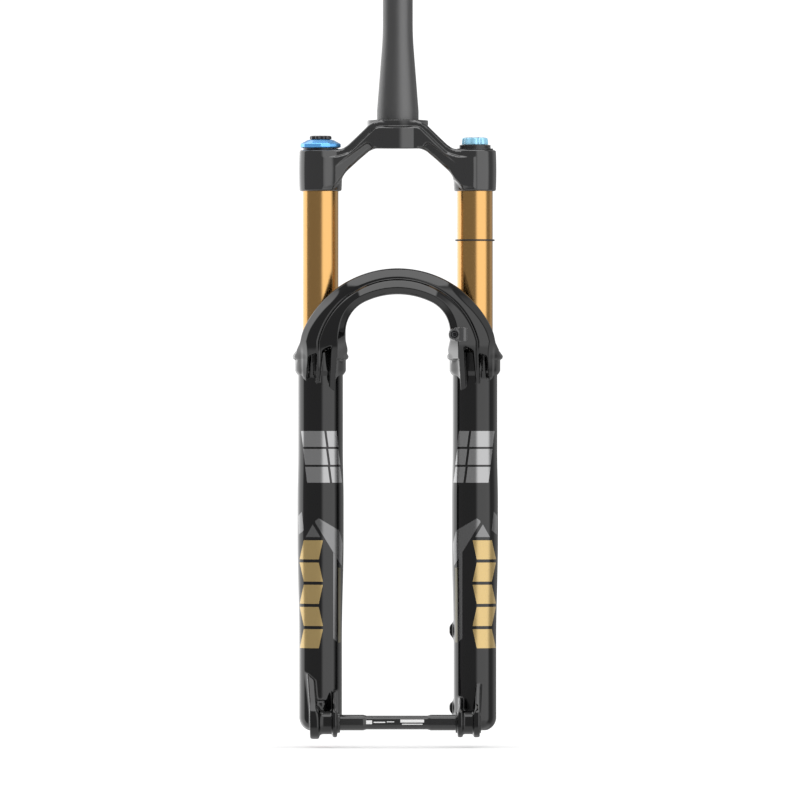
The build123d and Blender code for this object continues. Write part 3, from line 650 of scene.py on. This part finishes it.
# name: base colour, metallic, roughness, coat, coat roughness, grain scale in 1/m, grain strength, and where
# they aren't the usual ones, specular level and the coat's index of refraction
FINISHES = {
    "lowers_gloss_black": ((0.004, 0.004, 0.0042), 0.0, 0.40, 1.0, 0.03, 900, 0.02, 0.0),
    "crown_satin_black": ((0.0175, 0.0175, 0.018), 0.0, 0.40, 1.0, 0.05, 2500, 0.03, 0.0, 1.65),
    "steerer_dark_anodised": ((0.12, 0.12, 0.121), 0.85, 0.44, 0.0, 0.2, 2500, 0.10),
    "stanchion_gold": ((0.56, 0.325, 0.118), 1.0, 0.20, 0.0, 0.08, 1800, 0.03),
    "seal_rubber": ((0.020, 0.020, 0.021), 0.0, 0.55, 0.0, 0.3, 1500, 0.15),
    "foam": ((0.10, 0.10, 0.11), 0.0, 0.95, 0.0, 0.3, 1200, 0.60),
    "bushing_sleeve": ((0.28, 0.26, 0.22), 0.6, 0.45, 0.0, 0.3, 1500, 0.10),
    "cap_black_anodised": ((0.022, 0.022, 0.024), 0.4, 0.34, 0.3, 0.15, 2500, 0.08),
    "dial_blue_anodised": ((0.13, 0.47, 0.95), 0.60, 0.25, 0.5, 0.08, 2500, 0.05),
    "valve_cap_cyan": ((0.36, 0.74, 0.98), 0.30, 0.25, 0.6, 0.08, 2500, 0.05),
    "dial_black_anodised": ((0.030, 0.030, 0.033), 0.5, 0.30, 0.4, 0.12, 2500, 0.08),
    "cartridge_aluminium": ((0.62, 0.63, 0.65), 1.0, 0.30, 0.0, 0.2, 1800, 0.06),
    "valve_aluminium": ((0.55, 0.56, 0.58), 1.0, 0.34, 0.0, 0.2, 1800, 0.06),
    "spring_steel": ((0.42, 0.42, 0.44), 1.0, 0.28, 0.0, 0.2, 1800, 0.06),
    "shaft_hard_chrome": ((0.72, 0.73, 0.75), 1.0, 0.12, 0.0, 0.2, 1800, 0.03),
    "piston_black_plastic": ((0.025, 0.025, 0.027), 0.0, 0.45, 0.0, 0.3, 1500, 0.12),
    "spacer_orange_plastic": ((0.75, 0.22, 0.03), 0.0, 0.42, 0.0, 0.3, 1500, 0.10),
    "valve_brass": ((0.72, 0.53, 0.22), 1.0, 0.26, 0.0, 0.2, 1800, 0.05),
    "nut_steel": ((0.36, 0.36, 0.38), 1.0, 0.32, 0.0, 0.2, 1800, 0.08),
    "washer_aluminium": ((0.62, 0.63, 0.65), 1.0, 0.36, 0.0, 0.2, 1800, 0.06),
    "knob_red_anodised": ((0.55, 0.02, 0.02), 0.85, 0.28, 0.3, 0.12, 2500, 0.05),
    "axle_black_anodised": ((0.014, 0.014, 0.0145), 0.0, 0.40, 1.0, 0.10, 1800, 0.04, 0.0, 1.55),
    "guide_black_plastic": ((0.040, 0.040, 0.041), 0.0, 0.32, 0.7, 0.12, 1500, 0.10),
    "bolt_black_steel": ((0.05, 0.05, 0.053), 0.7, 0.34, 0.0, 0.3, 1500, 0.08),
    "marks_white": ((0.75, 0.75, 0.75), 0.0, 0.45, 0.0, 0.3, 1500, 0.05),
    "travel_ring_rubber": ((0.018, 0.018, 0.019), 0.0, 0.50, 0.0, 0.3, 1500, 0.10),
    "graphic_silver": ((0.30, 0.30, 0.303), 0.8, 0.16, 1.0, 0.03, 900, 0.02, 0.0),
    "graphic_grey": ((0.15, 0.15, 0.152), 0.8, 0.20, 1.0, 0.03, 900, 0.02, 0.0),
    "graphic_gold": ((0.50, 0.36, 0.15), 0.7, 0.24, 0.6, 0.05, 900, 0.02, 0.0),
    "graphic_dull_gold": ((0.10, 0.09, 0.055), 0.5, 0.30, 1.0, 0.03, 900, 0.02, 0.0),
}


RELIEF = 0.00005  # the grain's depth in metres at full strength


def material(name, colour, metallic, roughness, coat, coat_roughness, grain, strength, specular=0.5,
             coat_ior=1.5):
    """A finish whose roughness and fine relief vary with procedural noise."""
    made = bpy.data.materials.new(name)
    made.use_nodes = True
    nodes, links = made.node_tree.nodes, made.node_tree.links
    shader = nodes["Principled BSDF"]
    shader.inputs["Base Color"].default_value = (*colour, 1)
    shader.inputs["Metallic"].default_value = metallic
    shader.inputs["Specular IOR Level"].default_value = specular
    shader.inputs["Coat Weight"].default_value = coat
    shader.inputs["Coat IOR"].default_value = coat_ior
    shader.inputs["Coat Roughness"].default_value = coat_roughness
    place = nodes.new("ShaderNodeTexCoord")
    noise = nodes.new("ShaderNodeTexNoise")
    noise.inputs["Scale"].default_value = grain
    noise.inputs["Detail"].default_value = 3
    links.new(place.outputs["Object"], noise.inputs["Vector"])
    spread = nodes.new("ShaderNodeMapRange")
    spread.inputs["To Min"].default_value = roughness * 0.9
    spread.inputs["To Max"].default_value = roughness * 1.1
    links.new(noise.outputs["Fac"], spread.inputs["Value"])
    links.new(spread.outputs["Result"], shader.inputs["Roughness"])
    bump = nodes.new("ShaderNodeBump")
    bump.inputs["Strength"].default_value = strength
    bump.inputs["Distance"].default_value = RELIEF
    links.new(noise.outputs["Fac"], bump.inputs["Height"])
    links.new(bump.outputs["Normal"], shader.inputs["Normal"])
    return made


MATERIALS = {name: material(name, *facts) for name, facts in FINISHES.items()}

for node in frame["record"]["subparts"]:
    shown = frame["nodes"].get(node["node"])
    if shown is not None and node["material_slot"] in MATERIALS:
        shown.data.materials.clear()
        shown.data.materials.append(MATERIALS[node["material_slot"]])


# ---- the fork's pieces --------------------------------------------------------------------------------------
DAMPER, AIR = (-LEG_X, LEG_Y), (LEG_X, LEG_Y)
SIDES = {"damper_side": DAMPER, "air_side": AIR}
AXLE_LINE = (AXLE_Y, AXLE_Z)
AXLE_WAIST = 6.6  # the radius of the axle's middle

bridge = sculpted("lower_casting_bridge", bridge_field,
                  (spaced((-102.5, 102.5, 0.9)), spaced((-62.5, 18.5, 0.9)), spaced((-262.0, -139.0, 0.9))))
placed(bridge, "lowers", ["lower_casting"], "lowers_gloss_black")

# fine where the dropouts are, coarse round the rest of the legs, one long step between the legs
leg_places = spaced((-102.0, -87.0, 1.6), (-87.0, -54.0, 0.92), (-54.0, -46.0, 1.5), (-46.0, 46.0, 46.0),
                    (46.0, 54.0, 1.2), (54.0, 82.0, 0.92), (82.0, 102.0, 1.6))
legs = sculpted("lower_casting_legs", legs_field,
                (leg_places, spaced((-62.0, -24.0, 0.92), (-24.0, 26.5, 1.6)),
                 spaced((-592.5, -530.0, 0.92), (-530.0, -474.0, 1.35), (-474.0, -245.0, 5.0),
                        (-245.0, -238.0, 1.4))))
placed(legs, "lowers", ["lower_casting"], "lowers_gloss_black")

crown = sculpted("crown_forging", crown_field,
                 (spaced((-96.5, 96.5, 0.9)), spaced((-33.0, 31.5, 0.9)), spaced((-70.5, 2.0, 0.9))))
placed(crown, "upper", ["crown"], "crown_satin_black")

steerer = turned("steerer", [
    (14.3, 210, 0.8), (12.3, 210, 0.4), (12.3, -20, 1), (15.9, -26.2, 0.4), (STEERER_BORE, -26.2, 0.4),
    (STEERER_BORE, -0.4, 0.2), (19.9, 0, 0.1), (19.9, 8.5, 0.4), (14.3, 80, 12)])
placed(steerer, "upper", ["steerer_tube"], "steerer_dark_anodised")

for side, middle in SIDES.items():
    tube = turned(f"stanchion_tube_{side}", [
        (15.1, -412), (CLAMP_BORE, -412, 1.2), (CLAMP_BORE, CLAMP_TOP), (15.1, CLAMP_TOP)], middle, sides=192)
    placed(tube, "upper", [f"stanchion_{side}"], "stanchion_gold")
    seal = turned(f"wiper_lip_{side}", [
        (17.1, -228), (21, -228), (21, -221), (22.4, -221), (22.4, -219.4, 0.6), (20.6, -218.2, 0.6),
        (18.4, -215.0, 0.5), (17.1, -214.5, 0.2)], middle)
    placed(seal, "lowers", [f"wiper_seal_{side}"], "seal_rubber")

damper_cap = turned("damper_cap", [(0, -42.1), (15.1, -42.1), (15.1, -29.1), (16.7, -29.1, 0.1), (16.7, -27.5),
                                   (5.2, -27.5), (5.2, -34.1), (0, -34.1)], DAMPER)
placed(damper_cap, "upper", ["damper_top_cap"], "cap_black_anodised")


def flats(count, reach):
    """A rim of flat faces: scales radii from a given reach outwards."""
    def scale(angle, r):
        if r < reach:
            return 1.0
        step = 2 * pi / count
        off = (angle + step / 2) % step - step / 2
        return cos(step / 2) / cos(off)
    return scale


def lobes(count, depth, reach):
    """A rim of rounded lobes."""
    def scale(angle, r):
        return 1.0 if r < reach else 1.0 - depth * abs(sin(count * angle / 2)) ** 3
    return scale


wide_dial = turned("dial_high_speed", [
    (4.5, -33.9), (4.5, -27.2, 0.1), (17.4, -27.2, 0.8), (19.7, -26.2, 0.5), (19.7, -23.2, 0.6),
    (17.4, -22.0, 0.8), (12.2, -19.4, 1.2), (8.6, -18.9, 0.4), (8.6, -24.7, 0.2), (2.8, -24.7, 0.2),
    (2.8, -33.9, 0.2)], DAMPER, sides=168, rim=flats(14, 16.0))
placed(wide_dial, "high_speed_dial", ["high_speed_dial"], "dial_blue_anodised")

small_dial = turned("dial_low_speed", [
    (0, -60), (1.9, -60), (1.9, -24.5, 0.2), (8.1, -24.5), (8.1, -18.9, 0.2), (10.4, -18.7, 0.5),
    (10.4, -16.2, 0.7), (9.4, -15.4, 0.5), (4.4, -15.4, 0.4), (3.9, -16.2, 0.3), (0, -16.2)], DAMPER, sides=120,
    rim=lobes(10, 0.10, 9.0))
carve(small_dial, [prism("slot", [(-6, -1.1), (6, -1.1), (6, 1.1), (-6, 1.1)], -16.6, -14.0, DAMPER)])
placed(small_dial, "low_speed_dial", ["low_speed_dial"], "dial_black_anodised")

air_cap = turned("air_cap", [
    (4.0, -42.1), (15.1, -42.1), (15.1, -29.1, 0.1), (17.4, -29.1, 0.3), (17.4, -27.6, 0.3), (15.0, -27.6, 0.2),
    (14.9, -24.2, 0.5), (4.0, -24.2, 0.3)], AIR, sides=144)
placed(air_cap, "upper", ["air_top_cap"], "cap_black_anodised")
stem = turned("valve_stem", [
    (1.2, -48.1), (4.0, -48.1), (4.0, -24.2, 0.2), (3.8, -24.0, 0.2), (3.8, -19.5, 0.4), (2.6, -19.5, 0.3),
    (2.6, -27.0, 0.3), (1.2, -27.1, 0.1)], AIR, sides=64)
placed(stem, "upper", ["air_valve_stem"], "valve_brass")
valve_cap = turned("cap_air_valve", [
    (0, -17.4), (4.0, -17.3, 1.0), (9.4, -17.0, 0.8), (12.1, -17.8, 0.6), (12.6, -21.6, 0.5),
    (12.6, -22.2, 0.3), (12.6, -23.9, 0.5), (4.1, -23.9, 0.3), (4.1, -18.9, 0.3), (0, -18.9)],
    AIR, sides=160, rim=lobes(8, 0.13, 9.0))
placed(valve_cap, "air_valve_cap", ["air_valve_cap"], "valve_cap_cyan")

axle = turned("axle", [
    (0, -82.5), (6.1, -82.5, 0.3), (6.9, -81.7, 0.3), (6.9, -59.8), (7.5, -59.2), (7.5, -32.9),
    (AXLE_WAIST, -29.9), (AXLE_WAIST, 28.3), (7.5, 31.3), (7.5, 72.2), (8.7, 72.2, 0.2), (8.7, 78.6, 0.4),
    (7.9, 79.4, 0.2), (0, 79.4)], AXLE_LINE, "x", 96)
carve(axle, [prism("socket", hexagon(6.0), 71.0, 81.0, AXLE_LINE, "x")])
placed(axle, "thru_axle", ["thru_axle"], "axle_black_anodised")
ring = turned("ring_travel", [
    (17.1, -116.0, 0.6), (18.9, -116.0, 0.6), (18.9, -114.4, 0.6), (17.1, -114.4, 0.6)], AIR)
placed(ring, "travel_ring", ["travel_ring"], "travel_ring_rubber")
knob = turned("knob_rebound", [
    (0, -586.3), (7.1, -586.3, 0.4), (7.6, -585.8, 0.3), (7.6, -581.8, 0.3), (2.1, -581.8, 0.2),
    (2.1, -380, 0.2), (0, -380)], DAMPER, sides=120, rim=lobes(10, 0.08, 7.0))
placed(knob, "rebound_knob", ["rebound_knob"], "knob_red_anodised")

# the spring over the floating piston, built at one length; the real one shortens as the piston rises
SPRING_TOP, SPRING_FOOT, PISTON_RISE, SPRING_SPARE = -42.2, -91.9, 26.0, 0.4


def coil(name, middle, low, high, turns=7, coil_r=9.0, wire_r=0.9, steps=40, around=10):
    """A coil spring between two heights, of round wire with closed ends. steps is the sections in each turn."""
    vertices, faces = [], []
    count = turns * steps
    for n in range(count + 1):
        turn = 2 * pi * turns * n / count
        height = low + wire_r + (high - low - 2 * wire_r) * n / count
        for s in range(around):
            t = 2 * pi * s / around
            r = coil_r + wire_r * cos(t)
            vertices.append((middle[0] + r * cos(turn), middle[1] + r * sin(turn), height + wire_r * sin(t)))
    for n in range(count):
        for s in range(around):
            a, b = n * around + s, n * around + (s + 1) % around
            faces.append([a, b, b + around, a + around])
    faces += [list(range(around)), list(range(count * around, (count + 1) * around))]
    piece = mesh_object(name, vertices, faces, 60)
    outward(piece)
    return piece


spring = coil("spring_floating_piston", DAMPER, SPRING_FOOT, SPRING_TOP)
placed(spring, "upper", ["floating_piston_spring"], "spring_steel")
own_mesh(spring)

for n, (post_z, half) in enumerate(POSTS):
    face = turned(f"post_face_{n + 1}", [
        (3.1, 23.8), (half - 1.1, 23.8), (half - 1.1, 24.15, 0.1), (3.1, 24.15, 0.1)],
        (POST_X, post_z), "y", 64)
    placed(face, "lowers", [], "washer_aluminium")


def guide_field(x, y, z):
    """Hose guide: a round tongue under its screw, a block and a barrel that clips over the hose."""
    u, v = x - GUIDE_X, z - GUIDE_Z
    tongue = drum_field(y, np.hypot(u, v), -67.5, -60.0, 5.0, 0.7)
    block = box_field(x, y, z, (GUIDE_X + 5.5, -63.75, GUIDE_Z), (5.5, 3.75, 6.6), 1.4)
    hose = np.hypot(u - 8.5, y + 64.6)
    d = join(join(tongue, block, 1.0), drum_field(z, hose, GUIDE_Z - 6.6, GUIDE_Z + 6.6, 4.2, 0.6), 1.0)
    d = cut(d, hose - 2.6, 0.5)
    return cut(d, np.minimum(np.hypot(u, v) - 2.05, np.maximum(np.hypot(u, v) - 3.5, y + 62.5)), 0.3)


guide = sculpted("hose_guide_clip", guide_field,
                 (spaced((47.5, 68.0, 0.35)), spaced((-70.0, -59.0, 0.35)), spaced((-213.0, -198.0, 0.35))))
placed(guide, "lowers", ["hose_guide"], "guide_black_plastic")
screw = turned("hose_guide_screw", [
    (0, -65.5), (2.9, -65.5, 0.5), (3.2, -65.0, 0.3), (3.2, -62.5, 0.2), (1.95, -62.5), (1.95, -50.5, 0.3),
    (0, -50.5)], (GUIDE_X, GUIDE_Z), "y", 48)
carve(screw, [prism("socket", hexagon(2.5), -67.0, -63.5, (GUIDE_X, GUIDE_Z), "y")])
placed(screw, "lowers", ["hose_guide_bolt"], "bolt_black_steel")


# ---- printed patches ----------------------------------------------------------------------------------------
PRINT_LIFT, DASH_LIFT = 0.12, 0.08  # how far a printed patch stands off the paint, and a dash off the axle
PRINT_ROW, PRINT_COLUMNS = 1.5, 16  # the height of a row of faces, and the faces in it


def printed(name, side, shapes, finish):
    """Patches wrapped on the front of one leg. A shape is a convex outline seen from the front, as (|x|, z)."""
    vertices, faces = [], []
    for shape in shapes:
        heights = [z for _, z in shape]
        rows = spaced((min(heights), max(heights), PRINT_ROW))
        first = len(vertices)
        for z in rows:
            cuts = []
            for (x0, z0), (x1, z1) in zip(shape, shape[1:] + shape[:1]):
                if min(z0, z1) - 1e-6 <= z <= max(z0, z1) + 1e-6 and z0 != z1:
                    cuts.append(x0 + (x1 - x0) * (z - z0) / (z1 - z0))
            r = float(leg_radius(np.array(z))) + PRINT_LIFT
            turns = [np.arcsin(np.clip((x - LEG_X) / r, -0.999, 0.999)) for x in (min(cuts), max(cuts))]
            for t in np.linspace(*turns, PRINT_COLUMNS + 1):
                vertices.append((side * (LEG_X + r * sin(t)), LEG_Y - r * cos(t), z))
        for i in range(len(rows) - 1):
            for j in range(PRINT_COLUMNS):
                a = first + i * (PRINT_COLUMNS + 1) + j
                quad = [a, a + 1, a + PRINT_COLUMNS + 2, a + PRINT_COLUMNS + 1]
                faces.append(quad if side > 0 else quad[::-1])
    piece = mesh_object(name, vertices, faces)
    return placed(piece, "lowers", [], finish)


def slanted(x0, x1, low, high, lean):
    """A four-cornered shape whose sides lean outwards by lean towards the top."""
    return [(x0, low), (x1, low), (x1 + lean, high), (x0 + lean, high)]


for side, where in ((-1, "damper_side"), (1, "air_side")):
    # three silver bars, each cut by a slanting gap
    bars = []
    for low, high, inner, outer in ((-312.6, -297.5, 56.5, 90.5), (-329.7, -314.6, 54.8, 88.5),
                                    (-346.8, -331.7, 53.1, 86.5)):
        split = inner + 9.5
        bars += [slanted(inner, split, low, high, 2.0), slanted(split + 2.2, outer, low, high, 2.0)]
    printed(f"graphic_bars_{where}", side, bars, "graphic_silver")
    # a grey band that crosses the leg, with a wedge beside it
    band = [(53.6, -426.5), (79.5, -383.6), (75.4, -380.8), (55.6, -392.5), (52.6, -405.0)]
    wedge = [(73.9, -398.7), (88.0, -398.7), (81.2, -386.6)]
    corner = [(89.6, -392.5), (94.6, -396.5), (95.0, -378.5), (91.6, -374.6)]
    printed(f"graphic_band_{where}", side, [band, wedge, corner], "graphic_grey")
    # gold blocks down the outer half of the leg
    blocks = []
    height, gap = 18.2, 3.0
    for n in range(5):
        top = -401.8 - n * (height + gap)
        lean = 4.0 if n % 2 else -4.0
        inner = 71.4 - min(lean, 0)
        blocks.append(slanted(inner, 93.8 - max(lean, 0), top - height, top, lean))
    printed(f"graphic_blocks_{where}", side, blocks, "graphic_gold")
    # a narrow grey strip beside a gold one on the inner edge
    printed(f"graphic_strip_{where}", side, [[(58.2, -498.5), (61.6, -495.5), (61.6, -413.0), (58.2, -417.0)]],
            "graphic_grey")
    printed(f"graphic_line_{where}", side, [slanted(54.6, 57.0, -499.5, -428.0, 0.0)],
            "graphic_dull_gold")

# plain white dashes on the axle's waist: from, to, low, high
DASHES = ((-31.0, -24.5, -1.4, 2.2), (-23.0, -12.0, -0.2, 0.9), (-10.5, -3.5, 0.4, 1.2), (2.5, 25.0, 0.2, 3.0),
          (4.0, 23.5, -1.9, -1.0))
DASH_ROWS = 6
vertices, faces = [], []
for low_x, high_x, low, high in DASHES:
    r = AXLE_WAIST + DASH_LIFT
    first = len(vertices)
    for t in np.linspace(np.arcsin(low / r), np.arcsin(high / r), DASH_ROWS + 1):
        y, z = AXLE_Y - r * cos(t), AXLE_Z + r * sin(t)
        vertices += [(low_x, y, z), (high_x, y, z)]
    for a in range(first, first + 2 * DASH_ROWS, 2):
        faces.append([a, a + 1, a + 3, a + 2])
placed(mesh_object("axle_dashes", vertices, faces), "thru_axle", [], "marks_white")


# ---- stage --------------------------------------------------------------------------------------------------
FLOOR_Z, FLOOR_REACH = cad_box[0][2] - 0.009, 60.0
floor_mesh = bpy.data.meshes.new("floor")
floor_corners = [(-FLOOR_REACH, -FLOOR_REACH), (FLOOR_REACH, -FLOOR_REACH), (FLOOR_REACH, FLOOR_REACH),
                 (-FLOOR_REACH, FLOOR_REACH)]
floor_mesh.from_pydata([(u, v, FLOOR_Z) for u, v in floor_corners], [], [(0, 1, 2, 3)])
floor = bpy.data.objects.new("floor", floor_mesh)
bpy.context.scene.collection.objects.link(floor)
pale = bpy.data.materials.new("floor_pale")
pale.use_nodes = True
pale_shader = pale.node_tree.nodes["Principled BSDF"]
for socket, value in (("Base Color", (0.75, 0.75, 0.75, 1)), ("Roughness", 1.0), ("Specular IOR Level", 0.0),
                      ("Emission Color", (1, 1, 1, 1)), ("Emission Strength", 0.30)):
    pale_shader.inputs[socket].default_value = value
floor.visible_glossy = False
floor_mesh.materials.append(pale)

# radiance is in units of white, and a height is the sine of the angle above the horizon
AMBIENT = 1.12  # what the camera and diffuse light see
DIM = 0.33  # what reflections see between the softboxes
# azimuth in degrees from the front, positive to the rider's left: (from, to, softness, radiance)
SOFTBOXES = [(9.0, 78.0, 9.0, 1.5), (112.0, 144.0, 6.0, 0.25), (-165.0, -99.0, 5.0, 1.6)]
SOFTBOX_FOOT, SOFTBOX_HEAD = (-0.85, -0.25), (0.80, 0.90)  # the heights between which they fade in and out
TOP_SOFTBOX, TOP_EDGE = 2.6, (0.86, 0.885)
FLOOR_GLOW, GLOW_EDGE = 0.7, (-0.75, -0.45)


def studio():
    """White to the camera and to diffuse light; softboxes on grey to reflections."""
    world = bpy.data.worlds.new("studio")
    world.use_nodes = True
    tree = world.node_tree
    tree.nodes.clear()

    def maths(operation, *terms):
        made = tree.nodes.new("ShaderNodeMath")
        made.operation = operation
        for socket, value in zip(made.inputs, terms):
            if isinstance(value, bpy.types.NodeSocket):
                tree.links.new(value, socket)
            else:
                socket.default_value = value
        return made.outputs[0]

    def without(value):
        return maths("SUBTRACT", 1.0, value)

    def soft_step(value, low, high):
        made = tree.nodes.new("ShaderNodeMapRange")
        made.interpolation_type = "SMOOTHSTEP"
        tree.links.new(value, made.inputs["Value"])
        made.inputs["From Min"].default_value = low
        made.inputs["From Max"].default_value = high
        return made.outputs["Result"]

    way = tree.nodes.new("ShaderNodeTexCoord")
    split = tree.nodes.new("ShaderNodeSeparateXYZ")
    tree.links.new(way.outputs["Generated"], split.inputs["Vector"])
    x, y, z = split.outputs
    azimuth = maths("ARCTAN2", x, maths("MULTIPLY", y, -1.0))
    level = maths("MULTIPLY", soft_step(z, *SOFTBOX_FOOT), without(soft_step(z, *SOFTBOX_HEAD)))
    light = maths("ADD", maths("MULTIPLY", soft_step(z, *TOP_EDGE), TOP_SOFTBOX), DIM)
    light = maths("ADD", light, maths("MULTIPLY", without(soft_step(z, *GLOW_EDGE)), FLOOR_GLOW))
    for low, high, edge, radiance in SOFTBOXES:
        low, high, edge = radians(low), radians(high), radians(edge)
        band = maths("MULTIPLY", soft_step(azimuth, low - edge, low + edge),
                     without(soft_step(azimuth, high - edge, high + edge)))
        light = maths("ADD", light, maths("MULTIPLY", maths("MULTIPLY", band, radiance), level))
    path = tree.nodes.new("ShaderNodeLightPath")
    glossy = path.outputs["Is Glossy Ray"]
    strength = maths("ADD", maths("MULTIPLY", glossy, light), maths("MULTIPLY", without(glossy), AMBIENT))
    white = tree.nodes.new("ShaderNodeBackground")
    white.inputs["Color"].default_value = (1, 1, 1, 1)
    tree.links.new(strength, white.inputs["Strength"])
    out = tree.nodes.new("ShaderNodeOutputWorld")
    tree.links.new(white.outputs[0], out.inputs[0])
    world.cycles.sampling_method = "NONE"
    bpy.context.scene.world = world


studio()

# the picture is VIEW_WIDTH wide in the plane FACE_Y, all in metres
CAMERA_X, CAMERA_Y, CAMERA_Z, FACE_Y, VIEW_WIDTH = 0.0021, -12.0, -0.2679, -0.02, 0.764
lens = bpy.data.cameras.new("camera")
lens.sensor_width = 36.0
lens.lens = lens.sensor_width * (FACE_Y - CAMERA_Y) / VIEW_WIDTH
camera = bpy.data.objects.new("camera", lens)
bpy.context.scene.collection.objects.link(camera)
camera.location = (CAMERA_X, CAMERA_Y, CAMERA_Z)
camera.rotation_euler = (pi / 2, 0, 0)
bpy.context.scene.camera = camera
bpy.context.scene.view_settings.view_transform = "Standard"
